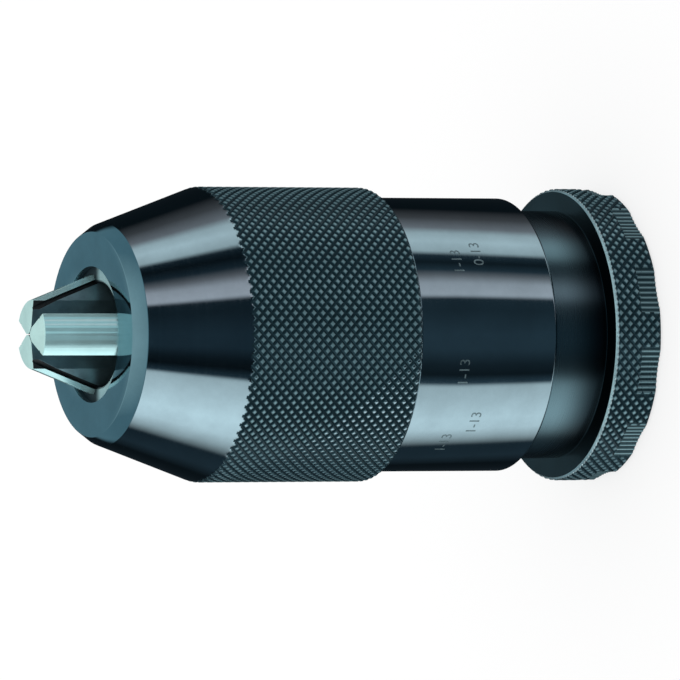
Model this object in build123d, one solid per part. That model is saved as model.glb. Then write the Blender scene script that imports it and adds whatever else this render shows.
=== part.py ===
from build123d import *
import math
import os

os.makedirs("parts", exist_ok=True)

# Keyless three-jaw drill chuck, millimetres. The axis is Z, z = 0 is the rear
# face, the jaws point along +Z. All parts are drawn with the jaws closed.

# Outside sizes
hood_r = 25.0
sleeve_r = 23.3
neck_r = 21.2
face_r = 17.25
ring_h = 8.5
neck_top = 18.45
sleeve_z = 18.7
face_z = 95.0
cone_h = 19.5
knurl_h = 30.8
nose_out = 11.3
cone_slope = 0.358

# Fits
run_gap = 0.05
end_gap = 0.1

# Body, taper socket and holding ring
stem_r = 15.0
taper_mouth_r = 15.733 / 2
taper_depth = 24.0
taper_slope = 1 / 20.020 / 2
clip_floor_r = 14.3
clip_z = 1.6
clip_h = 1.6
pin_r = 2.0
pin_h = 7.6
scallops = 11
scallop_depth = 0.9
scallop_spread = 20.5
scallop_first = -72.0
scallop_h = 3.6
seal_z = 19.9
seal_h = 1.2

# Ball thrust bearing
lip_h = 3.5
race_h = 2.0
ball_r = 1.75
ball_pitch_r = 17.7
balls = 20
race_gap = 3.0

# Sleeve and radial bearing
bore_r = 20.4
spigot_r = 22.2
bush_wall = 1.15
boss_h = 8.0

# Screw spindle and jaw carrier
screw_r = 8.0
carrier_r = 16.5
carrier_h = 9.0
foot_h = 3.2
neck_h = 2.8
foot_half = 3.5
neck_half = 2.0

# Jaws
capacity = 13.0
incline = 22.0
jaw_half = 3.5
crown_tip_r = 5.6
crown_round_r = 6.5
groove_drop = 0.9
groove_w = 0.8
groove_deep = 0.8
jaw_back_r = 15.6

# Hood and jaw guide
hood_wall = 4.0
hole_r = 11.45
plate_h = 1.3
guide_bore_r = 8.7
cavity_r = 17.0
dog_half = 4.0
dog_h = 2.5

# Heights that follow from the sizes above
cone_z = face_z - cone_h
hood_z = cone_z - knurl_h
guide_z = cone_z - 15.0
body_top = guide_z - 6.5
rear_race_z = sleeve_z + lip_h
ball_z = rear_race_z + race_h + race_gap / 2
front_race_z = rear_race_z + race_h + race_gap
flange_z = front_race_z + race_h
flange_top = body_top - boss_h
flange_r = bore_r - bush_wall - run_gap
tip_z = face_z + nose_out
plate_z = face_z - plate_h
slide_tan = math.tan(math.radians(incline))
travel = capacity / 2 / slide_tan
carrier_z = body_top + travel + 0.51
carrier_top = carrier_z + carrier_h
shoulder_z = carrier_top + end_gap
foot_z = shoulder_z - neck_h - foot_h
screw_end = body_top - 7.9
guide_r = spigot_r + 0.2
cone_in_r = guide_r + run_gap
cone_in_z = cone_z + (hood_r - hood_wall - cone_in_r) / cone_slope


def turned(points):
    return revolve(Plane.XZ * make_face(Polyline(*points, close=True)), Axis.Z)


def tube(r_out, r_in, z0, z1):
    return turned([(r_in, z0), (r_out, z0), (r_out, z1), (r_in, z1)])


def rod(r, z0, z1):
    return Pos(0, 0, z0) * Cylinder(r, z1 - z0, align=(Align.CENTER, Align.CENTER, Align.MIN))


def block(x0, x1, y0, y1, z0, z1):
    return Pos(x0, y0, z0) * Box(x1 - x0, y1 - y0, z1 - z0, align=(Align.MIN, Align.MIN, Align.MIN))


def around(shape, count, first=0.0):
    return [Rot(0, 0, first + i * 360 / count) * shape for i in range(count)]


def cut_all(shape, tools):
    for tool in tools:
        shape = shape - tool
    return shape


# The pieces

def make_body():
    shape = turned([
        (0, 0), (stem_r - 0.4, 0), (stem_r, 0.4), (stem_r, flange_z),
        (flange_r - 0.3, flange_z), (flange_r, flange_z + 0.3), (flange_r, flange_top - 0.6),
        (flange_r - 0.6, flange_top), (stem_r, flange_top), (stem_r, body_top - 0.6),
        (stem_r - 0.6, body_top), (0, body_top),
    ])
    small_r = taper_mouth_r - taper_depth * taper_slope
    shape -= turned([(0, 0), (taper_mouth_r, 0), (small_r, taper_depth), (0, taper_depth)])
    shape -= rod(small_r - 0.05, taper_depth - 0.1, taper_depth + 2)
    shape -= rod(2.0, taper_depth + 1.9, flange_z)
    shape -= rod(screw_r + 0.1, flange_z - 0.6, body_top)
    shape -= tube(stem_r + 1, clip_floor_r, clip_z - 0.05, clip_z + clip_h)
    shape -= tube(stem_r + 1, stem_r - 0.4, seal_z, seal_z + seal_h)
    return cut_all(shape, pin_holes())


def pin_holes():
    pin_top = clip_z + clip_h + 0.2 + pin_h
    return around(Pos(stem_r, 0, 0) * rod(pin_r, 0, pin_top), 3, -90)


def make_ring_pins():
    pin_bottom = clip_z + clip_h + 0.2
    return Compound(children=around(Pos(stem_r, 0, 0) * rod(pin_r, pin_bottom, pin_bottom + pin_h), 3, -90))


def make_holding_ring():
    cup_h = clip_z + clip_h
    washer_z = neck_top - 1.05
    shape = turned([
        (stem_r, cup_h), (stem_r + 3.6, cup_h), (stem_r + 3.6, 0), (hood_r - 0.5, 0),
        (hood_r, 0.5), (hood_r, ring_h - 0.5), (hood_r - 0.5, ring_h), (neck_r, ring_h),
        (neck_r, neck_top), (bore_r - 0.1, neck_top), (bore_r - 0.1, washer_z),
        (stem_r + 1.2, washer_z), (stem_r + 1.2, neck_top), (stem_r, neck_top),
    ])
    half = math.radians(scallop_spread / 2)
    sag = hood_r * math.cos(half) - (hood_r - scallop_depth)
    cutter_r = ((hood_r * math.sin(half)) ** 2 + sag ** 2) / (2 * sag)
    cutter = Pos(hood_r - scallop_depth + cutter_r, 0, 0) * rod(cutter_r, -1, scallop_h)
    return cut_all(shape, around(cutter, scallops, scallop_first) + pin_holes())


def make_ring_circlip():
    clip_r = clip_floor_r + 2.9
    shape = tube(clip_r, clip_floor_r, clip_z, clip_z + clip_h)
    for side in (-1, 1):
        lug = Rot(0, 0, side * 12) * Pos(clip_r - 1.2, 0, 0) * rod(2.2, clip_z, clip_z + clip_h)
        shape += lug
    for side in (-1, 1):
        shape -= Rot(0, 0, side * 12) * Pos(clip_r - 0.9, 0, 0) * rod(0.9, 0, clip_z + clip_h + 1)
    shape -= block(clip_floor_r - 2, clip_r + 3, -1.2, 1.2, 0, clip_z + clip_h + 1)
    return Rot(0, 0, 90) * (shape - rod(clip_floor_r, 0, clip_z + clip_h + 1))


def make_dust_seal():
    inner = stem_r - 0.4
    return turned([
        (inner, seal_z), (inner + 0.9, seal_z), (inner + 1.2, seal_z + 0.3),
        (inner + 1.2, seal_z + seal_h - 0.3), (inner + 0.9, seal_z + seal_h), (inner, seal_z + seal_h),
    ])


def make_back_washer():
    return tube(bore_r - 0.2, stem_r + 1.4, neck_top - 1.05, neck_top + 0.15)


def make_sleeve():
    shape = turned([
        (stem_r + 1.2, sleeve_z), (sleeve_r - 0.6, sleeve_z), (sleeve_r, sleeve_z + 0.6),
        (sleeve_r, hood_z), (spigot_r, hood_z), (spigot_r, guide_z - run_gap),
        (bore_r, guide_z - run_gap), (bore_r, rear_race_z), (stem_r + 1.2, rear_race_z),
    ])
    notch = block(bore_r - 2, spigot_r + 1, -dog_half - run_gap, dog_half + run_gap,
                  guide_z - dog_h - 0.1, guide_z + 1)
    return cut_all(shape, around(notch, 3, -30))


def make_bearing_bush():
    return tube(bore_r, bore_r - bush_wall, flange_z + 1.4, flange_z + 13.4)


def ball_groove(side):
    groove_r = ball_r + 0.1
    return revolve(Plane.XZ * Pos(ball_pitch_r, ball_z + side * 0.08) * Circle(groove_r), Axis.Z)


def make_rear_race():
    return tube(bore_r - run_gap, stem_r + 0.8, rear_race_z, rear_race_z + race_h) - ball_groove(1)


def make_front_race():
    return tube(bore_r - 0.5, stem_r, front_race_z, front_race_z + race_h) - ball_groove(-1)


def make_thrust_balls():
    return Compound(children=around(Pos(ball_pitch_r, 0, ball_z) * Sphere(ball_r), balls))


def make_ball_cage():
    shape = tube(bore_r - 0.25, stem_r + 0.35, ball_z - 0.8, ball_z + 0.8)
    pocket = Pos(ball_pitch_r, 0, 0) * rod(ball_r + 0.02, ball_z - 2, ball_z + 2)
    return cut_all(shape, around(pocket, balls))


def make_spindle():
    root_z = carrier_z
    shape = turned([
        (0, screw_end), (screw_r - 1, screw_end), (screw_r, screw_end + 1), (screw_r, root_z),
        (4.5, root_z), (4.5, root_z + 2.6), (0, root_z + 2.6),
    ])
    return shape - carrier_pin_rod(1.0)


def carrier_pin_rod(radius):
    turn = Rot(0, 0, 60) * Rot(0, 90, 0)
    return Pos(0, 0, carrier_z + 1.5) * turn * Cylinder(radius, 2 * (carrier_r - 0.6))


def make_carrier_pin():
    return carrier_pin_rod(1.0)


def make_jaw_carrier():
    shape = turned([
        (0, carrier_z), (carrier_r - 0.5, carrier_z), (carrier_r, carrier_z + 0.5),
        (carrier_r, carrier_top - 0.3), (carrier_r - 0.3, carrier_top), (0, carrier_top),
    ])
    shape -= rod(4.5, carrier_z, carrier_z + 2.6)
    shape -= rod(foot_half + 0.8, foot_z - run_gap, carrier_top)
    drill = Pos(0, 0, carrier_z + 1.5) * Rot(0, 0, 60) * Rot(0, 90, 0) * Cylinder(1.0, 2 * carrier_r + 2)
    foot = block(0, carrier_r + 1, -foot_half - run_gap, foot_half + run_gap,
                 foot_z - run_gap, foot_z + foot_h + run_gap)
    neck = block(0, carrier_r + 1, -neck_half - run_gap, neck_half + run_gap, foot_z, carrier_top + 1)
    return cut_all(shape, [drill] + around(foot, 3, -90) + around(neck, 3, -90))


def slide_plane():
    a = math.radians(incline)
    return Plane(origin=(crown_tip_r, 0, tip_z), x_dir=(math.cos(a), 0, math.sin(a)),
                 z_dir=(-math.sin(a), 0, math.cos(a)))


def crown_drop():
    return crown_round_r - math.sqrt(crown_round_r ** 2 - jaw_half ** 2)


def slide_bar(extra, depth, length):
    half = jaw_half + extra
    drop = crown_drop()
    edge = Polyline((extra - drop, half), (-depth, half), (-depth, -half), (extra - drop, -half))
    crown = ThreePointArc((extra - drop, -half), (extra, 0), (extra - drop, half))
    face = slide_plane() * make_face(edge + crown)
    return Pos(math.sin(math.radians(incline)) * 60, 0, -math.cos(math.radians(incline)) * 60) * extrude(
        face, length)


def flank_strip(side, gap, length):
    top = -crown_drop() - groove_drop - gap
    low = top - groove_w + 2 * gap
    inner = jaw_half - groove_deep + gap
    outer = jaw_half + 1
    edge = Polyline((top, side * inner), (top, side * outer), (low, side * outer),
                    (low, side * inner), close=True)
    face = slide_plane() * make_face(edge)
    return Pos(math.sin(math.radians(incline)) * 60, 0, -math.cos(math.radians(incline)) * 60) * extrude(
        face, length)


def make_jaw(azimuth):
    wedge = Polyline((0.25, 0.3), (0.8, 1.2), (4.6, jaw_half), (30, jaw_half), (30, -jaw_half),
                     (4.6, -jaw_half), (0.8, -1.2), (0.25, -0.3), close=True)
    prism = Pos(0, 0, shoulder_z) * extrude(make_face(wedge), tip_z - shoulder_z)
    shape = slide_bar(0, 22, 80) & prism
    shape = shape & rod(jaw_back_r, shoulder_z, tip_z)
    shape = shape - flank_strip(1, 0, 80) - flank_strip(-1, 0, 80)
    end_low = tip_z - 12 * math.tan(math.radians(4.5))
    end = turned([(0, tip_z), (12, end_low), (12, tip_z + 2), (0, tip_z + 2)])
    shape = shape - end
    shape += block(4.0, 9.6, -neck_half, neck_half, foot_z + foot_h, shoulder_z)
    shape += block(4.0, 9.6, -foot_half, foot_half, foot_z, foot_z + foot_h)
    return Rot(0, 0, azimuth) * shape


def make_jaw_guide():
    nose_r = guide_r - cone_slope * (plate_z - cone_in_z)
    cavity_top = carrier_top + 0.6
    shape = turned([
        (cavity_r, guide_z), (guide_r, guide_z), (guide_r, cone_in_z), (nose_r, plate_z),
        (guide_bore_r + 0.5, plate_z), (guide_bore_r, plate_z - 0.5),
        (guide_bore_r, cavity_top), (cavity_r, cavity_top),
    ])
    slot = slide_bar(run_gap, 12, 80)
    slot = slot - flank_strip(1, run_gap, 80) - flank_strip(-1, run_gap, 80)
    shape = cut_all(shape, around(slot, 3, -90))
    dog = tube(spigot_r - 0.1, bore_r + 0.1, guide_z - dog_h, guide_z + 2)
    dog = dog & block(bore_r - 2, spigot_r + 1, -dog_half, dog_half, guide_z - dog_h, guide_z + 2)
    for one in around(dog, 3, -30):
        shape = shape + one
    return shape


def make_hood():
    cone_top_r = face_r + 1.55
    cone_top_z = cone_z + (hood_r - cone_top_r) / cone_slope
    in_top_r = cone_in_r - cone_slope * (plate_z - cone_in_z)
    return turned([
        (spigot_r, hood_z), (hood_r - 0.6, hood_z), (hood_r, hood_z + 0.6), (hood_r, cone_z),
        (cone_top_r, cone_top_z), (face_r, face_z), (hole_r + 0.25, face_z), (hole_r, face_z - 0.25),
        (hole_r, plate_z), (in_top_r, plate_z), (cone_in_r, cone_in_z),
        (cone_in_r, guide_z), (spigot_r, guide_z),
    ])


pieces = {
    "body": make_body(),
    "holding_ring": make_holding_ring(),
    "ring_pins": make_ring_pins(),
    "ring_circlip": make_ring_circlip(),
    "dust_seal": make_dust_seal(),
    "back_washer": make_back_washer(),
    "sleeve": make_sleeve(),
    "bearing_bush": make_bearing_bush(),
    "rear_race": make_rear_race(),
    "front_race": make_front_race(),
    "thrust_balls": make_thrust_balls(),
    "ball_cage": make_ball_cage(),
    "spindle": make_spindle(),
    "jaw_carrier": make_jaw_carrier(),
    "carrier_pin": make_carrier_pin(),
    "jaw_guide": make_jaw_guide(),
    "hood": make_hood(),
    "jaw_1": make_jaw(-90),
    "jaw_2": make_jaw(30),
    "jaw_3": make_jaw(150),
}

for name, shape in pieces.items():
    export_step(shape, "parts/" + name + ".step")
    box = shape.bounding_box()
    print(name, round(shape.volume, 2), [round(v, 2) for v in (*box.min, *box.max)])
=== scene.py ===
import math

import bmesh
import bpy
import numpy as np
from mathutils import Matrix


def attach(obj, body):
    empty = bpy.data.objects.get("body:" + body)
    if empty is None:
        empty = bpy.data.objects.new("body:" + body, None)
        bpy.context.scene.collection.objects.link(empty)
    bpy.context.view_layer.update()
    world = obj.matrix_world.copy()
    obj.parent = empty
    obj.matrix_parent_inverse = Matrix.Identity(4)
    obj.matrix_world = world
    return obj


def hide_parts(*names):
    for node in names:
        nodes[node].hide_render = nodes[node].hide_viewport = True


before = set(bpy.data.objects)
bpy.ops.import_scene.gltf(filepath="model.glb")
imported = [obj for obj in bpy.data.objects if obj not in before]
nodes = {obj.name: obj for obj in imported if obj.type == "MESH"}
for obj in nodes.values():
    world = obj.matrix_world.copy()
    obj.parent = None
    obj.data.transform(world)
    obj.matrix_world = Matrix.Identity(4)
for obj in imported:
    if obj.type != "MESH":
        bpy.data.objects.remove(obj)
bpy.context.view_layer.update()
mm = 0.001
arcSteps = 4  # points on a softened corner
sideShare = 0.4  # the most of a side that a softened corner takes
print("frame loaded,", len(nodes), "nodes")


def makeMesh(name, parts, material, attributes=None):
    # Joins several surfaces, each (points, faces, smooth), into one object at the origin
    points, faces, smooth, start = [], [], [], 0
    for pts, corners, isSmooth in parts:
        points.append(pts)
        faces.append(corners + start)
        smooth.append(np.broadcast_to(isSmooth, len(corners)))
        start += len(pts)
    points = np.concatenate(points)
    corners = np.concatenate([f.reshape(-1) for f in faces])
    counts = np.concatenate([np.full(len(f), f.shape[1]) for f in faces])
    mesh = bpy.data.meshes.new(name)
    mesh.vertices.add(len(points))
    mesh.vertices.foreach_set("co", points.astype(np.float32).ravel())
    mesh.loops.add(len(corners))
    mesh.loops.foreach_set("vertex_index", corners.astype(np.int32))
    mesh.polygons.add(len(counts))
    starts = np.concatenate([[0], np.cumsum(counts)[:-1]])
    mesh.polygons.foreach_set("loop_start", starts.astype(np.int32))
    mesh.polygons.foreach_set("use_smooth", np.concatenate(smooth))
    mesh.update(calc_edges=True)
    mesh.validate()
    for key, values in (attributes or {}).items():
        layer = mesh.attributes.new(key, "FLOAT", "POINT")
        layer.data.foreach_set("value", values.astype(np.float32))
    mesh.materials.append(material)
    obj = bpy.data.objects.new(name, mesh)
    bpy.context.scene.collection.objects.link(obj)
    return obj


def gridFaces(rows, cols, crossed=False):
    # Quads of a rows x cols grid, the columns closing on themselves; crossed
    # splits them into triangles whose diagonals alternate like a chessboard
    i = np.arange(rows - 1)[:, None]
    j = np.arange(cols)[None, :]
    j1 = (j + 1) % cols
    a, b, c, d = i * cols + j, i * cols + j1, (i + 1) * cols + j1, (i + 1) * cols + j
    if not crossed:
        return np.stack([a, b, c, d], -1).reshape(-1, 4)
    even = ((i + j) % 2 == 0)[..., None]
    first = np.where(even, np.stack([a, b, c], -1), np.stack([a, b, d], -1))
    second = np.where(even, np.stack([a, c, d], -1), np.stack([b, c, d], -1))
    return np.concatenate([first.reshape(-1, 3), second.reshape(-1, 3)])


def softProfile(corners, round):
    # Replaces every sharp corner of a closed (r, z) outline by a short arc:
    # a quadratic curve from a point before the corner to a point after it
    pts = np.array(corners, float)
    before, after = np.roll(pts, 1, 0) - pts, np.roll(pts, -1, 0) - pts
    lenA, lenB = np.linalg.norm(before, axis=1), np.linalg.norm(after, axis=1)
    cut = np.minimum(round, np.minimum(lenA, lenB) * sideShare)
    p0 = pts + before / lenA[:, None] * cut[:, None]
    p2 = pts + after / lenB[:, None] * cut[:, None]
    t = np.linspace(0, 1, arcSteps)[None, :, None]
    arc = (1 - t) ** 2 * p0[:, None] + 2 * t * (1 - t) * pts[:, None] + t ** 2 * p2[:, None]
    return arc.reshape(-1, 2)


def openProfile(corners, round):
    # The same for an open outline: its two ends stay sharp, where it meets the knurl
    soft = softProfile(corners, round)[arcSteps:-arcSteps]
    return np.concatenate([corners[:1], soft, corners[-1:]])


def ringOf(outline, sides):
    # Carries an (r, z) outline round the axis: x = r cos a, y = r sin a
    angle = np.arange(sides) / sides * 2 * np.pi
    r, z = outline[:, 0][:, None] * mm, outline[:, 1][:, None] * mm
    return np.stack([r * np.cos(angle), r * np.sin(angle), z + 0 * angle], -1)


def turned(outline, sides):
    # A closed outline's ring, with one more band of quads from its last point to its first
    last = (len(outline) - 1) * sides
    j = np.arange(sides)
    j1 = (j + 1) % sides
    close = np.stack([last + j, last + j1, j1, j], -1)
    faces = np.concatenate([gridFaces(len(outline), sides), close])
    return ringOf(outline, sides).reshape(-1, 3), faces, True


def diamondHeight(u, v, flat):
    # Two families of V grooves, u + v and u - v whole numbers: 0 in a groove,
    # rising evenly to 1 on the flat crest of each diamond
    first, second = u + v, u - v
    near = np.minimum(np.abs(first - np.round(first)), np.abs(second - np.round(second))) * 2
    return np.minimum(near / flat, 1.0)


def newMaterial(name, color, metallic=1.0):
    mat = bpy.data.materials.new(name)
    mat.use_nodes = True
    shader = mat.node_tree.nodes["Principled BSDF"]
    shader.inputs["Base Color"].default_value = (*color, 1)
    shader.inputs["Metallic"].default_value = metallic
    return mat, mat.node_tree, shader


def newGroup(name, inputs, outputs):
    group = bpy.data.node_groups.new(name, "ShaderNodeTree")
    for label, kind, value in inputs:
        item = group.interface.new_socket(label, in_out="INPUT", socket_type=kind)
        item.default_value = value
    for label, kind in outputs:
        group.interface.new_socket(label, in_out="OUTPUT", socket_type=kind)
    return group, group.nodes.new("NodeGroupInput"), group.nodes.new("NodeGroupOutput")


def feed(tree, socket, value):
    # A socket takes either another node's output or a constant
    if isinstance(value, bpy.types.NodeSocket):
        tree.links.new(value, socket)
    else:
        socket.default_value = value


def mathNode(tree, operation, *values):
    node = tree.nodes.new("ShaderNodeMath")
    node.operation = operation
    for socket, value in zip(node.inputs, values):
        feed(tree, socket, value)
    return node.outputs[0]


def mapRange(tree, value, low, high, toLow=0.0, toHigh=1.0, smooth=False):
    node = tree.nodes.new("ShaderNodeMapRange")
    node.interpolation_type = "SMOOTHSTEP" if smooth else "LINEAR"
    rows = (("Value", value), ("From Min", low), ("From Max", high), ("To Min", toLow), ("To Max", toHigh))
    for name, entry in rows:
        feed(tree, node.inputs[name], entry)
    return node.outputs[0]


def mixColors(tree, factor, first, second, blend="MIX"):
    node = tree.nodes.new("ShaderNodeMixRGB")
    node.blend_type = blend
    for socket, value in zip(node.inputs, (factor, first, second)):
        feed(tree, socket, value)
    return node.outputs[0]


def twoColors(tree, value, low, high, lowAt=0.0, highAt=1.0):
    node = tree.nodes.new("ShaderNodeValToRGB")
    for stop, color, place in zip(node.color_ramp.elements, (low, high), (lowAt, highAt)):
        stop.position = place
        stop.color = (*color, 1)
    tree.links.new(value, node.inputs[0])
    return node.outputs[0]


def attributeValue(tree, name):
    node = tree.nodes.new("ShaderNodeAttribute")
    node.attribute_name = name
    return node.outputs["Fac"]


def objectPlace(tree):
    coord = tree.nodes.new("ShaderNodeTexCoord")
    parts = tree.nodes.new("ShaderNodeSeparateXYZ")
    tree.links.new(coord.outputs["Object"], parts.inputs[0])
    return coord.outputs["Object"], *parts.outputs


def axisDistance(tree, x, y):
    # square root of x squared plus y squared
    square = mathNode(tree, "ADD", mathNode(tree, "MULTIPLY", x, x), mathNode(tree, "MULTIPLY", y, y))
    return mathNode(tree, "SQRT", square)


latheLook = {
    "coneLean": 1.31, "detail": 3.0, "cloudScale": 90.0, "cloudDetail": 4.0,
    "low": 0.35, "high": 0.65, "bumpHeight": 0.00002,
}


def buildLatheGroup(s):
    # Fine lathe rings: noise along radius + height, so the lines run round the
    # axis on cylinders, cones and flat faces alike
    group, gin, gout = newGroup(
        "latheLines",
        [("Lines per mm", "NodeSocketFloat", 3.0), ("Depth", "NodeSocketFloat", 0.1),
         ("Rough low", "NodeSocketFloat", 0.15), ("Rough high", "NodeSocketFloat", 0.25)],
        [("Roughness", "NodeSocketFloat"), ("Normal", "NodeSocketVector")])
    place, x, y, z = objectPlace(group)
    slanted = mathNode(group, "MULTIPLY", axisDistance(group, x, y), s["coneLean"])
    along = mathNode(group, "MULTIPLY", mathNode(group, "ADD", slanted, z), 1 / mm)
    noise = group.nodes.new("ShaderNodeTexNoise")
    noise.noise_dimensions = "1D"
    noise.inputs["Scale"].default_value = 1.0
    noise.inputs["Detail"].default_value = s["detail"]
    feed(group, noise.inputs["W"], mathNode(group, "MULTIPLY", along, gin.outputs["Lines per mm"]))
    cloud = group.nodes.new("ShaderNodeTexNoise")
    cloud.inputs["Scale"].default_value = s["cloudScale"]
    cloud.inputs["Detail"].default_value = s["cloudDetail"]
    feed(group, cloud.inputs["Vector"], place)
    mixed = mathNode(group, "ADD", mathNode(group, "MULTIPLY", noise.outputs[0], 0.5),
                     mathNode(group, "MULTIPLY", cloud.outputs[0], 0.5))
    rough = mapRange(group, mixed, s["low"], s["high"], gin.outputs["Rough low"], gin.outputs["Rough high"])
    bump = group.nodes.new("ShaderNodeBump")
    feed(group, bump.inputs["Distance"], s["bumpHeight"])
    feed(group, bump.inputs["Strength"], gin.outputs["Depth"])
    feed(group, bump.inputs["Height"], noise.outputs[0])
    feed(group, gout.inputs["Roughness"], rough)
    feed(group, gout.inputs["Normal"], bump.outputs[0])
    return group


patinaLook = {"detail": 6.0, "roughness": 0.65, "low": 0.35, "high": 0.65}


def buildPatinaGroup(s):
    # Uneven blueing: a cloudy noise mixes two shades of the finish
    group, gin, gout = newGroup(
        "patina",
        [("Shade A", "NodeSocketColor", (0.2, 0.3, 0.35, 1)),
         ("Shade B", "NodeSocketColor", (0.2, 0.3, 0.35, 1)),
         ("Scale", "NodeSocketFloat", 120.0)],
        [("Color", "NodeSocketColor")])
    coord = group.nodes.new("ShaderNodeTexCoord")
    noise = group.nodes.new("ShaderNodeTexNoise")
    feed(group, noise.inputs["Detail"], s["detail"])
    feed(group, noise.inputs["Roughness"], s["roughness"])
    feed(group, noise.inputs["Vector"], coord.outputs["Object"])
    feed(group, noise.inputs["Scale"], gin.outputs["Scale"])
    level = mapRange(group, noise.outputs[0], s["low"], s["high"])
    shade = mixColors(group, level, gin.outputs["Shade A"], gin.outputs["Shade B"])
    feed(group, gout.inputs["Color"], shade)
    return group


latheGroup = buildLatheGroup(latheLook)
patinaGroup = buildPatinaGroup(patinaLook)


def addLathe(tree, shader, lines, depth, low, high):
    node = tree.nodes.new("ShaderNodeGroup")
    node.node_tree = latheGroup
    node.inputs["Lines per mm"].default_value = lines
    node.inputs["Depth"].default_value = depth
    node.inputs["Rough low"].default_value = low
    node.inputs["Rough high"].default_value = high
    tree.links.new(node.outputs["Roughness"], shader.inputs["Roughness"])
    tree.links.new(node.outputs["Normal"], shader.inputs["Normal"])


def addPatina(tree, shader, color, spread, scale):
    # Two shades, spread above and below the finish's colour, feed Base Color
    node = tree.nodes.new("ShaderNodeGroup")
    node.node_tree = patinaGroup
    node.inputs["Shade A"].default_value = (*(c * (1 - spread) for c in color), 1)
    node.inputs["Shade B"].default_value = (*(c * (1 + spread) for c in color), 1)
    node.inputs["Scale"].default_value = scale
    tree.links.new(node.outputs["Color"], shader.inputs["Base Color"])


finishes = {
    # colour, metallic, lathe (lines per mm, depth, roughness from, to), patina (spread, scale)
    "bluedSteel": ((0.24, 0.345, 0.39), 1.0, (3.5, 0.06, 0.045, 0.09), (0.06, 160.0)),
    "darkSteel": ((0.075, 0.135, 0.16), 1.0, (3.5, 0.06, 0.07, 0.12), (0.12, 160.0)),
    "shadowBlackFace": ((0.012, 0.022, 0.028), 1.0, (3.5, 0.06, 0.16, 0.24), (0.2, 160.0)),
    "wornAndHighlitSteel": ((0.42, 0.54, 0.57), 0.8, (3.5, 0.06, 0.24, 0.34), (0.15, 400.0)),
    "markSteel": ((0.12, 0.18, 0.20), 0.8, (3.5, 0.06, 0.38, 0.5), (0.3, 900.0)),
    "crownLitSteel": ((0.46, 0.74, 0.76), 0.66, (0.6, 0.0, 0.15, 0.22), (0.05, 300.0)),
    "jawEndLitSteel": ((0.56, 0.80, 0.76), 0.3, (0.6, 0.0, 0.34, 0.44), (0.05, 300.0)),
    "flankShadedSteel": ((0.15, 0.255, 0.29), 0.85, (0.6, 0.0, 0.3, 0.42), (0.2, 250.0)),
    "grooveShadow": ((0.008, 0.012, 0.014), 0.2, (0.6, 0.0, 0.5, 0.7), (0.3, 300.0)),
    "groundSteel": ((0.42, 0.45, 0.47), 1.0, (2.5, 0.1, 0.22, 0.32), (0.08, 200.0)),
    "raceSteel": ((0.62, 0.63, 0.65), 1.0, (4.0, 0.03, 0.1, 0.16), (0.04, 200.0)),
    "springSteel": ((0.10, 0.11, 0.12), 1.0, (4.0, 0.03, 0.36, 0.48), (0.15, 200.0)),
    "bronzeMetal": ((0.60, 0.42, 0.22), 1.0, (2.5, 0.08, 0.28, 0.4), (0.1, 200.0)),
    "brassMetal": ((0.72, 0.56, 0.28), 1.0, (2.5, 0.08, 0.24, 0.36), (0.08, 200.0)),
    "sealRubber": ((0.02, 0.02, 0.021), 0.0, (1.5, 0.2, 0.5, 0.7), (0.25, 300.0)),
}
made = {}
for name, (color, metallic, lathe, patina) in finishes.items():
    made[name], tree, shader = newMaterial(name, color, metallic)
    addLathe(tree, shader, *lathe)
    addPatina(tree, shader, color, *patina)

# The straight ribs in the ring's scallops: dark between them as painted shade in the grooves, paler along
# their tops
ribLook = {
    "root": (0.02, 0.045, 0.055), "top": (0.17, 0.29, 0.325), "rootAt": 0.2, "topAt": 0.8,
    "metallic": 0.7, "specular": 0.12, "lathe": (3.5, 0.06, 0.26, 0.36),
}
ribSteel, tree, shader = newMaterial("ribSteel", ribLook["top"], ribLook["metallic"])
shader.inputs["Specular IOR Level"].default_value = ribLook["specular"]
addLathe(tree, shader, *ribLook["lathe"])
ribColor = twoColors(tree, attributeValue(tree, "rib"), ribLook["root"], ribLook["top"],
                     ribLook["rootAt"], ribLook["topAt"])
tree.links.new(ribColor, shader.inputs["Base Color"])

# The neck is painted darker towards the ring: painted shade in the corner with the ring, under its front
# face. Away from the ring its colour is still darker than the sleeve's, as painted shade from the ring and
# sleeve
neckLook = {
    "corner": (0.012, 0.022, 0.028), "farFromRing": (0.10, 0.175, 0.205), "cornerZ": 9.5, "farFromRingZ": 16.5,
    "lathe": (3.5, 0.02, 0.24, 0.28),
}
neckSteel, tree, shader = newMaterial("neckSteel", neckLook["farFromRing"])
addLathe(tree, shader, *neckLook["lathe"])
height = objectPlace(tree)[3]
# painted shade: the colour goes from dark at the ring to lighter away from it
rise = mapRange(tree, height, neckLook["cornerZ"] * mm, neckLook["farFromRingZ"] * mm, smooth=True)
tree.links.new(twoColors(tree, rise, neckLook["corner"], neckLook["farFromRing"]), shader.inputs["Base Color"])

# Knurl: flanks painted dark as shade in the grooves, the crests paler and duller, partly wear and partly a
# painted highlight
knurlLook = {
    "flank": (0.014, 0.036, 0.047), "crest": (0.155, 0.265, 0.30), "flankAt": 0.62,
    "roughFlank": 0.2, "roughCrest": 0.34, "metallic": 0.6, "specular": 0.12,
}
knurlSteel, tree, shader = newMaterial("knurlSteel", knurlLook["crest"], knurlLook["metallic"])
shader.inputs["Specular IOR Level"].default_value = knurlLook["specular"]
crest = attributeValue(tree, "crest")
knurlColor = twoColors(tree, crest, knurlLook["flank"], knurlLook["crest"], knurlLook["flankAt"])
tree.links.new(knurlColor, shader.inputs["Base Color"])
knurlRough = mapRange(tree, crest, 0.0, 1.0, knurlLook["roughFlank"], knurlLook["roughCrest"])
tree.links.new(knurlRough, shader.inputs["Roughness"])
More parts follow.
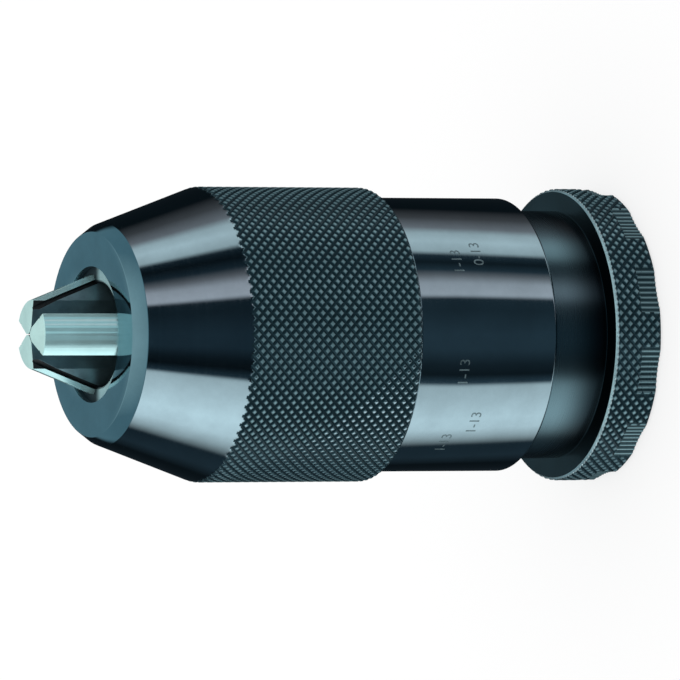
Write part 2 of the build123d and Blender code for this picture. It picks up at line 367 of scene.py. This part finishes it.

# Jaw guide, painted light and shade: bright only on the nose between the jaw slots, painted dark at the
# slots and in the bore; sin(3 azimuth) is 1 at the slots
guideLook = {
    "dark": (0.012, 0.018, 0.022), "bright": (0.50, 0.70, 0.71),
    "darkAt": 0.3, "brightAt": -0.4, "boreR": 8.9, "metallic": 0.5, "lathe": (2.5, 0.05, 0.34, 0.44),
}
guideSteel, tree, shader = newMaterial("guideSteel", guideLook["bright"], guideLook["metallic"])
addLathe(tree, shader, *guideLook["lathe"])
x, y = objectPlace(tree)[1:3]
slots = mathNode(tree, "SINE", mathNode(tree, "MULTIPLY", mathNode(tree, "ARCTAN2", y, x), 3.0))
between = mapRange(tree, slots, guideLook["darkAt"], guideLook["brightAt"], smooth=True)
outer = mathNode(tree, "GREATER_THAN", axisDistance(tree, x, y), guideLook["boreR"] * mm)
shine = mathNode(tree, "MULTIPLY", between, outer)
guideColor = twoColors(tree, shine, guideLook["dark"], guideLook["bright"])
tree.links.new(guideColor, shader.inputs["Base Color"])
print("materials made")


def knurlBand(s, zLow, outside):
    # r = the smaller of the knurled cylinder and the turned outline at that place;
    # the cylinder is radius - depth * (1 - diamond height). The faces that lie on
    # the turned outline come last and are smooth; count is how many are knurled
    n = s["samples"]
    cols, steps = s["diamonds"] * n, s["rows"] * n + 1
    u = np.arange(cols)[None, :] / n + np.zeros((steps, 1))
    v = np.arange(steps)[:, None] / n + np.zeros((1, cols))
    height = diamondHeight(u, v, s["flat"])
    z = zLow + v * s["row"]
    angle = 2 * np.pi * u / s["diamonds"]
    r = s["radius"] - s["depth"] * (1 - height)
    limit = outside(z, angle)
    r, onTurned = np.minimum(r, limit), (limit <= r).ravel()
    pts = np.stack([r * np.cos(angle), r * np.sin(angle), z], -1).reshape(-1, 3) * mm
    faces = gridFaces(steps, cols, crossed=True)
    plain = onTurned[faces].all(axis=1)
    count = int((~plain).sum())
    faces = np.concatenate([faces[~plain], faces[plain]])
    return (pts, faces, np.arange(len(faces)) >= count), height.ravel(), count


def paintFaces(obj, materials, choose):
    # choose(centres in mm, normals) gives every face the number of its material
    mesh = obj.data
    centre = np.empty(len(mesh.polygons) * 3, np.float32)
    normal = np.empty(len(mesh.polygons) * 3, np.float32)
    mesh.polygons.foreach_get("center", centre)
    mesh.polygons.foreach_get("normal", normal)
    mesh.materials.clear()
    for material in materials:
        mesh.materials.append(material)
    number = choose(centre.reshape(-1, 3) / mm, normal.reshape(-1, 3))
    mesh.polygons.foreach_set("material_index", number.astype(np.int32))


hoodSize = {
    "radius": 25.0, "rearZ": 44.7, "rearChamfer": 0.6, "coneZ": 75.5, "slope": 0.358,
    "noseR": 18.8, "faceR": 17.25, "faceZ": 95.0, "holeR": 11.45, "plateZ": 93.7, "noseInR": 14.5,
    "boreR": 22.45, "boreTopZ": 71.45, "screwR": 22.2, "screwTopZ": 60.5, "edge": 0.1,
    "diamonds": 86, "rows": 19, "row": 1.7, "depth": 0.3, "samples": 6, "flat": 2 / 3,
}


def makeHood(s):
    top = s["rearZ"] + s["rows"] * s["row"]

    def outside(z, angle):
        cone = s["radius"] - np.maximum(z - s["coneZ"], 0) * s["slope"]
        return np.minimum(cone, s["radius"] - s["rearChamfer"] + (z - s["rearZ"]))

    band, height, count = knurlBand(s, s["rearZ"], outside)
    knurl = makeMesh("hoodKnurl", [band], knurlSteel, {"crest": height})
    paintFaces(knurl, [knurlSteel, made["bluedSteel"]],
               lambda centre, normal: np.arange(len(centre)) >= count)
    topR = s["radius"] - (top - s["coneZ"]) * s["slope"]
    coneTop = s["coneZ"] + (s["radius"] - s["noseR"]) / s["slope"]
    outline = [
        (topR, top), (s["noseR"], coneTop), (s["faceR"], s["faceZ"]), (s["holeR"], s["faceZ"]),
        (s["holeR"], s["plateZ"]), (s["noseInR"], s["plateZ"]), (s["boreR"], s["boreTopZ"]),
        (s["boreR"], s["screwTopZ"]), (s["screwR"], s["screwTopZ"]), (s["screwR"], s["rearZ"]),
        (s["radius"] - s["rearChamfer"], s["rearZ"]),
    ]
    soft = openProfile(outline, s["edge"])
    cols = s["diamonds"] * s["samples"]
    surface = (ringOf(soft, cols).reshape(-1, 3), gridFaces(len(soft), cols), True)
    return makeMesh("hoodShell", [surface], made["bluedSteel"]), knurl


for piece in makeHood(hoodSize):
    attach(piece, "sleeve")
    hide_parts("hood")
print("hood made")


sleeveSize = {
    "radius": 23.3, "low": 18.7, "high": 44.7, "chamfer": 0.6, "lipR": 16.2, "lipTopZ": 22.2,
    "bore": 20.4, "spigot": 22.2, "spigotZ": 57.9, "edge": 0.15, "sides": 384,
}


def makeSleeve(s):
    outline = [
        (s["lipR"], s["low"]), (s["radius"] - s["chamfer"], s["low"]),
        (s["radius"], s["low"] + s["chamfer"]), (s["radius"], s["high"]), (s["spigot"], s["high"]),
        (s["spigot"], s["spigotZ"]), (s["bore"], s["spigotZ"]), (s["bore"], s["lipTopZ"]),
        (s["lipR"], s["lipTopZ"]),
    ]
    surface = turned(softProfile(outline, s["edge"]), s["sides"])
    return makeMesh("sleeveShell", [surface], made["bluedSteel"])


sleeve = makeSleeve(sleeveSize)
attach(sleeve, "sleeve")
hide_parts("sleeve")

sleeveMarks = {
    # words, azimuth where they start, height of the line
    "lines": [("1-13", -64.0, 35.2), ("1-13", -112.0, 35.2), ("1-13", -148.0, 35.2),
              ("0-13", -60.0, 31.2), ("1-13", -136.0, 31.2)],
    "letter": 2.7, "proud": 0.012, "sunk": 0.04, "thick": 0.5, "cuts": 2,
}


def cutFine(mesh, cuts):
    # Small triangles all over a flat text, so that it can follow a cylinder
    fine = bmesh.new()
    fine.from_mesh(mesh)
    bmesh.ops.remove_doubles(fine, verts=fine.verts, dist=1e-5)
    bmesh.ops.triangulate(fine, faces=fine.faces)
    bmesh.ops.subdivide_edges(fine, edges=fine.edges, cuts=cuts)
    bmesh.ops.triangulate(fine, faces=fine.faces)
    bmesh.ops.recalc_face_normals(fine, faces=fine.faces)
    fine.to_mesh(mesh)
    fine.free()


def makeMarks(s, radius):
    # Texts rolled on the cylinder: azimuth = start + x / radius, z = line + y
    pieces = []
    for words, start, line in s["lines"]:
        curve = bpy.data.curves.new("markText", "FONT")
        curve.body = words
        curve.size = s["letter"]
        curve.extrude = s["thick"]
        curve.resolution_u = 3
        text = bpy.data.objects.new("markText", curve)
        bpy.context.scene.collection.objects.link(text)
        bpy.context.view_layer.update()
        mesh = bpy.data.meshes.new_from_object(text)
        bpy.data.objects.remove(text)
        cutFine(mesh, s["cuts"])
        flat = np.empty(len(mesh.vertices) * 3, np.float32)
        mesh.vertices.foreach_get("co", flat)
        flat = flat.reshape(-1, 3)
        faces = np.empty(len(mesh.polygons) * 3, np.int32)
        mesh.polygons.foreach_get("vertices", faces)
        angle = math.radians(start) + flat[:, 0] / radius
        r = radius + np.where(flat[:, 2] > 0, s["proud"], -s["sunk"])
        pts = np.stack([r * np.cos(angle), r * np.sin(angle), line + flat[:, 1]], -1) * mm
        pieces.append((pts, faces.reshape(-1, 3), False))
    return makeMesh("sleeveMarks", pieces, made["markSteel"])


marks = makeMarks(sleeveMarks, sleeveSize["radius"])
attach(marks, "sleeve")


ringSize = {
    "radius": 25.0, "height": 8.5, "chamfer": 0.5, "neckR": 21.2, "neckZ": 18.45, "boreR": 15.0,
    "cupR": 18.6, "cupZ": 3.2, "sealOutR": 20.3, "sealInR": 16.2, "sealZ": 17.4, "footR": 22.4,
    "edge": 0.14, "diamonds": 84, "rows": 5, "row": 1.7, "depth": 0.3, "samples": 12, "flat": 2 / 3,
    "scallops": 11, "scallopDepth": 0.9, "scallopSpread": 20.5, "scallopZ": 3.6, "scallopFirst": -72.0,
    "ribs": 168, "ribDepth": 0.2, "highlitEdgeShare": 0.85, "facing": 0.7, "faceReach": 0.3,
}


def makeRing(s):
    half = math.radians(s["scallopSpread"] / 2)
    sag = s["radius"] * math.cos(half) - (s["radius"] - s["scallopDepth"])
    cutR = ((s["radius"] * math.sin(half)) ** 2 + sag ** 2) / (2 * sag)
    centre = s["radius"] - s["scallopDepth"] + cutR

    def outside(z, angle):
        # each scallop is a cutter circle beside the axis, with fine straight ribs
        step = 2 * np.pi / s["scallops"]
        off = angle - math.radians(s["scallopFirst"])
        off = off - np.round(off / step) * step
        root = np.maximum(cutR ** 2 - (centre * np.sin(off)) ** 2, 0)
        ribs = s["ribDepth"] * np.abs(np.sin(angle * s["ribs"] / 2))
        scallop = centre * np.cos(off) - np.sqrt(root) - ribs
        edge = s["radius"] - s["chamfer"] + np.minimum(z, s["height"] - z)
        return np.where(z < s["scallopZ"], np.minimum(edge, scallop), edge)

    band, height, count = knurlBand(s, 0.0, outside)
    pts = band[0]
    rib = 1 - np.abs(np.sin(np.arctan2(pts[:, 1], pts[:, 0]) * s["ribs"] / 2))
    knurl = makeMesh("ringKnurl", [band], knurlSteel, {"crest": height, "rib": rib})

    def knurlFinish(centre, normal):
        # the front edge is painted pale: partly wear, partly a painted highlight along the chamfer
        edge = s["height"] - centre[:, 2] < s["chamfer"] * s["highlitEdgeShare"]
        return np.where(edge, 1, np.where(np.arange(len(centre)) < count, 0, 2))

    paintFaces(knurl, [knurlSteel, made["wornAndHighlitSteel"], ribSteel], knurlFinish)
    outline = [
        (s["radius"] - s["chamfer"], s["height"]), (s["neckR"], s["height"]), (s["neckR"], s["neckZ"]),
        (s["sealOutR"], s["neckZ"]), (s["sealOutR"], s["sealZ"]), (s["sealInR"], s["sealZ"]),
        (s["sealInR"], s["neckZ"]), (s["boreR"], s["neckZ"]), (s["boreR"], s["cupZ"]),
        (s["cupR"], s["cupZ"]), (s["cupR"], 0.0), (s["footR"], 0.0),
    ]
    cols = s["diamonds"] * s["samples"]
    rim = pts.reshape(-1, cols, 3)[:1]
    rows = np.concatenate([ringOf(openProfile(outline, s["edge"]), cols), rim])
    surface = (rows.reshape(-1, 3), gridFaces(len(rows), cols), True)
    shell = makeMesh("ringShell", [surface], neckSteel)

    def shellFinish(centre, normal):
        # the flat front face is painted black as the shadow of the sleeve and hood, the rear face dark, the
        # rest is the neck
        front = (normal[:, 2] > s["facing"]) & (centre[:, 2] < s["height"] + s["faceReach"])
        return np.where(front, 1, np.where(centre[:, 2] < s["faceReach"], 2, 0))

    paintFaces(shell, [neckSteel, made["shadowBlackFace"], made["darkSteel"]], shellFinish)
    return shell, knurl


for piece in makeRing(ringSize):
    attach(piece, "body")
    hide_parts("holding_ring")
print("sleeve and holding ring made")


brokenEdge = {"width": 0.12, "segments": 2, "sharp": 25.0, "flat": 0.5}


def softCopy(node, name, material, body, s):
    # A merged copy of a machined node with its sharp edges broken by a small bevel
    copy = nodes[node].copy()
    copy.data = nodes[node].data.copy()
    copy.name = name
    copy.parent = None
    bpy.context.scene.collection.objects.link(copy)
    bpy.context.view_layer.objects.active = copy
    bpy.ops.object.select_all(action="DESELECT")
    copy.select_set(True)
    bpy.ops.object.mode_set(mode="EDIT")
    bpy.ops.mesh.select_all(action="SELECT")
    bpy.ops.mesh.remove_doubles(threshold=1e-6)
    bpy.ops.mesh.dissolve_limited(angle_limit=math.radians(s["flat"]))
    bpy.ops.object.mode_set(mode="OBJECT")
    bpy.ops.object.shade_smooth_by_angle(angle=math.radians(s["sharp"]))
    bevel = copy.modifiers.new("brokenEdge", "BEVEL")
    bevel.width = s["width"] * mm
    bevel.segments = s["segments"]
    bevel.limit_method = "ANGLE"
    bevel.angle_limit = math.radians(s["sharp"])
    bevel.harden_normals = True
    copy.data.materials.clear()
    copy.data.materials.append(material)
    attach(copy, body)
    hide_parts(node)
    return copy


jawSize = {
    "first": -90.0, "lean": 22.0, "crownR": 5.6, "tipZ": 106.28,
    "lip": 1.5, "grooveEnd": 2.4, "grooveIn": 1.5, "grooveOut": 3.4, "facing": 0.9,
}


def jawFinish(azimuth, s):
    # Faces by their depth under the crown's ridge: lip and crown 0, end 1, flank 2, groove 3. These are lit
    # and shaded copies of the jaw steel: lip, crown and end painted pale as highlight, flanks painted dark
    # as shade, the groove a painted black shadow
    east, north = math.cos(azimuth), math.sin(azimuth)
    lean = math.radians(s["lean"])
    side = np.array([-north, east, 0])
    out = np.array([east * math.cos(lean), north * math.cos(lean), math.sin(lean)])
    ridge = np.array([east * s["crownR"], north * s["crownR"], s["tipZ"]])

    def choose(centre, normal):
        depth, place = (ridge - centre) @ out, np.abs(centre @ side)
        groove = (place < s["grooveOut"]) & (place > s["grooveIn"]) & (depth < s["grooveEnd"])
        number = np.where(depth < s["lip"], 0, np.where(groove, 3, 2))
        return np.where(normal[:, 2] > s["facing"], 1, number)

    return choose


# lit and shaded copies of one jaw steel: painted highlight, painted shade and painted shadow
jawFinishes = [made[name] for name in ("crownLitSteel", "jawEndLitSteel", "flankShadedSteel", "grooveShadow")]
for number in (1, 2, 3):
    node = "jaw_%d" % number
    blade = softCopy(node, "jawBlade%d" % number, made["crownLitSteel"], node, brokenEdge)
    azimuth = math.radians(jawSize["first"] + 120 * (number - 1))
    paintFaces(blade, jawFinishes, jawFinish(azimuth, jawSize))
softCopy("jaw_guide", "guideCone", guideSteel, "sleeve", brokenEdge)

plainFinish = {
    "body": "groundSteel", "ring_pins": "groundSteel", "ring_circlip": "springSteel",
    "dust_seal": "sealRubber", "back_washer": "bronzeMetal", "bearing_bush": "bronzeMetal",
    "rear_race": "raceSteel", "front_race": "raceSteel", "thrust_balls": "raceSteel",
    "ball_cage": "brassMetal", "spindle": "groundSteel", "jaw_carrier": "groundSteel",
    "carrier_pin": "groundSteel",
}
for name, finish in plainFinish.items():
    nodes[name].data.materials.clear()
    nodes[name].data.materials.append(made[finish])
print("jaws, guide and inner pieces finished")


floorLook = {"color": (0.26, 0.26, 0.26), "roughness": 0.9, "glow": 0.74, "half": 6.0, "z": -0.3,
             "specular": 0.1}


def makeFloor(s):
    # One-sided paper a little under the chuck, so its rear can be seen from below
    paper, tree, shader = newMaterial("floorPaper", s["color"], 0.0)
    shader.inputs["Roughness"].default_value = s["roughness"]
    shader.inputs["Emission Color"].default_value = (1, 1, 1, 1)
    shader.inputs["Emission Strength"].default_value = s["glow"]
    shader.inputs["Specular IOR Level"].default_value = s["specular"]
    geometry = tree.nodes.new("ShaderNodeNewGeometry")
    clear = tree.nodes.new("ShaderNodeBsdfTransparent")
    oneSided = tree.nodes.new("ShaderNodeMixShader")
    tree.links.new(geometry.outputs["Backfacing"], oneSided.inputs[0])
    tree.links.new(shader.outputs[0], oneSided.inputs[1])
    tree.links.new(clear.outputs[0], oneSided.inputs[2])
    tree.links.new(oneSided.outputs[0], tree.nodes["Material Output"].inputs["Surface"])
    half, z = s["half"], s["z"] * mm
    pts = np.array([(-half, -half, z), (half, -half, z), (half, half, z), (-half, half, z)])
    floor = makeMesh("studioFloor", [(pts, np.array([[0, 1, 2, 3]]), False)], paper)
    floor.visible_glossy = False
    return floor


makeFloor(floorLook)

studio = {
    # azimuth from the front, positive toward +X, the brightness seen there and its tint
    "strips": [
        (-180, 0.02, "cool"), (-140, 0.012, "cool"), (-124, 0.055, "cool"), (-106, 0.05, "cool"),
        (-101, 0.5, "clear"), (-96, 0.9, "clear"), (-86, 1.5, "clear"), (-75, 1.64, "clear"),
        (-57, 1.31, "clear"), (-44, 1.08, "clear"), (-41, 0.10, "cool"), (-34, 0.022, "cool"),
        (-25, 0.036, "cool"), (-12, 0.082, "cool"), (0, 0.084, "cool"), (20, 0.052, "cool"),
        (30, 0.055, "cool"), (33, 0.90, "warm"), (43, 0.78, "warm"), (50, 0.30, "warm"),
        (55, 0.07, "cool"), (62, 0.025, "cool"), (69, 0.06, "cool"), (73, 0.95, "clear"),
        (84, 1.22, "clear"), (93, 1.0, "clear"), (100, 0.38, "warm"), (114, 0.12, "warm"),
        (130, 0.012, "cool"),
    ],
    "tints": {"cool": (0.63, 1.0, 1.3), "clear": (1.0, 1.0, 1.0), "warm": (1.15, 1.0, 1.04)},
    # the strips' edges: between which heights they lean, how far, and over which azimuths
    "leanZ": (-0.35, 0.22), "leanLow": 0.125, "leanHigh": 0.045,
    "lowEdge": (-0.14, -0.42, -1.65, -1.1), "highEdge": (0.14, 0.42, 1.1, 0.8),
    "gamma": 1.2, "gammaZ": (-0.05, 0.12),
    # the even dome above the strips: it starts at domeZ, and lower behind the chuck
    "dome": (0.18, 0.32, 0.375), "top": (0.53, 0.71, 0.74), "domeZ": (0.31, 0.39), "behind": 0.385,
    "domeAt": 0.45, "topAt": 0.8, "fill": 1.05,
}


def stripRamp(tree, place, s):
    # The strips at half their brightness, since a ramp stops at 1, then doubled
    ramp = tree.nodes.new("ShaderNodeValToRGB")
    elements = ramp.color_ramp.elements
    while len(elements) > 1:
        elements.remove(elements[-1])
    for number, (angle, level, tint) in enumerate(s["strips"]):
        stop = elements[0] if number == 0 else elements.new(angle / 360 + 0.5)
        stop.position = angle / 360 + 0.5
        stop.color = (*(level / 2 * part for part in s["tints"][tint]), 1)
    tree.links.new(place, ramp.inputs[0])
    return mixColors(tree, 1.0, ramp.outputs[0], (2, 2, 2, 1), "MULTIPLY")


def buildWorld(s):
    world = bpy.data.worlds.new("studioWorld")
    bpy.context.scene.world = world
    world.use_nodes = True
    tree = world.node_tree
    tree.nodes.clear()
    coord = tree.nodes.new("ShaderNodeTexCoord")
    parts = tree.nodes.new("ShaderNodeSeparateXYZ")
    tree.links.new(coord.outputs["Generated"], parts.inputs[0])
    x, y, z = parts.outputs
    azimuth = mathNode(tree, "ARCTAN2", x, mathNode(tree, "MULTIPLY", y, -1.0))
    # the inner edges of the strips lean: seen upward they lie nearer the front
    lean = mapRange(tree, z, *s["leanZ"])
    low, high = (
        mathNode(tree, "MULTIPLY", mapRange(tree, azimuth, *edge[:2]), mapRange(tree, azimuth, *edge[2:]))
        for edge in (s["lowEdge"], s["highEdge"]))
    shift = mathNode(tree, "SUBTRACT", mathNode(tree, "MULTIPLY", high, s["leanHigh"]),
                     mathNode(tree, "MULTIPLY", low, s["leanLow"]))
    azimuth = mathNode(tree, "ADD", azimuth, mathNode(tree, "MULTIPLY", shift, lean))
    place = mathNode(tree, "ADD", mathNode(tree, "DIVIDE", azimuth, 2 * math.pi), 0.5)
    strips = stripRamp(tree, place, s)
    # reflections that leave upward see the strips with more contrast
    harder = tree.nodes.new("ShaderNodeGamma")
    feed(tree, harder.inputs["Gamma"], s["gamma"])
    feed(tree, harder.inputs["Color"], strips)
    band = mixColors(tree, mapRange(tree, z, *s["gammaZ"]), strips, harder.outputs[0])
    behind = mathNode(tree, "MULTIPLY", mathNode(tree, "MAXIMUM", y, 0.0), s["behind"])
    rise = mapRange(tree, mathNode(tree, "ADD", z, behind), *s["domeZ"], smooth=True)
    dome = twoColors(tree, z, s["dome"], s["top"], s["domeAt"], s["topAt"])
    upper = mixColors(tree, rise, band, dome)
    # only reflections see the studio; everything else gets an even fill
    path = tree.nodes.new("ShaderNodeLightPath")
    light = mixColors(tree, path.outputs["Is Glossy Ray"], (s["fill"], s["fill"], s["fill"], 1), upper)
    background = tree.nodes.new("ShaderNodeBackground")
    output = tree.nodes.new("ShaderNodeOutputWorld")
    tree.links.new(light, background.inputs[0])
    tree.links.new(background.outputs[0], output.inputs[0])


buildWorld(studio)


camera = {"elevation": 25.2, "distance": 1.8, "lens": 567.0, "across": -41.9, "up": 0.92, "target": 95.0}


def placeCamera(s):
    # The chuck's axis lies across the frame, its jaws to the left and nearer
    tilt = math.radians(s["elevation"])
    right = np.array([0, -math.sin(tilt), -math.cos(tilt)])
    up = np.array([1.0, 0, 0])
    ahead = np.array([0, math.cos(tilt), -math.sin(tilt)])
    aim = np.array([0, 0, s["target"]]) * mm
    place = aim - right * s["across"] * mm - up * s["up"] * mm - ahead * s["distance"]
    data = bpy.data.cameras.new("studioCamera")
    data.lens = s["lens"]
    data.sensor_width = 36
    data.clip_start = 0.1
    data.clip_end = 50
    obj = bpy.data.objects.new("studioCamera", data)
    bpy.context.scene.collection.objects.link(obj)
    obj.matrix_world = Matrix([
        [right[0], up[0], -ahead[0], place[0]],
        [right[1], up[1], -ahead[1], place[1]],
        [right[2], up[2], -ahead[2], place[2]],
        [0, 0, 0, 1]])
    bpy.context.scene.camera = obj


placeCamera(camera)
bpy.context.scene.view_settings.view_transform = "Standard"
print("floor, studio light and camera set")
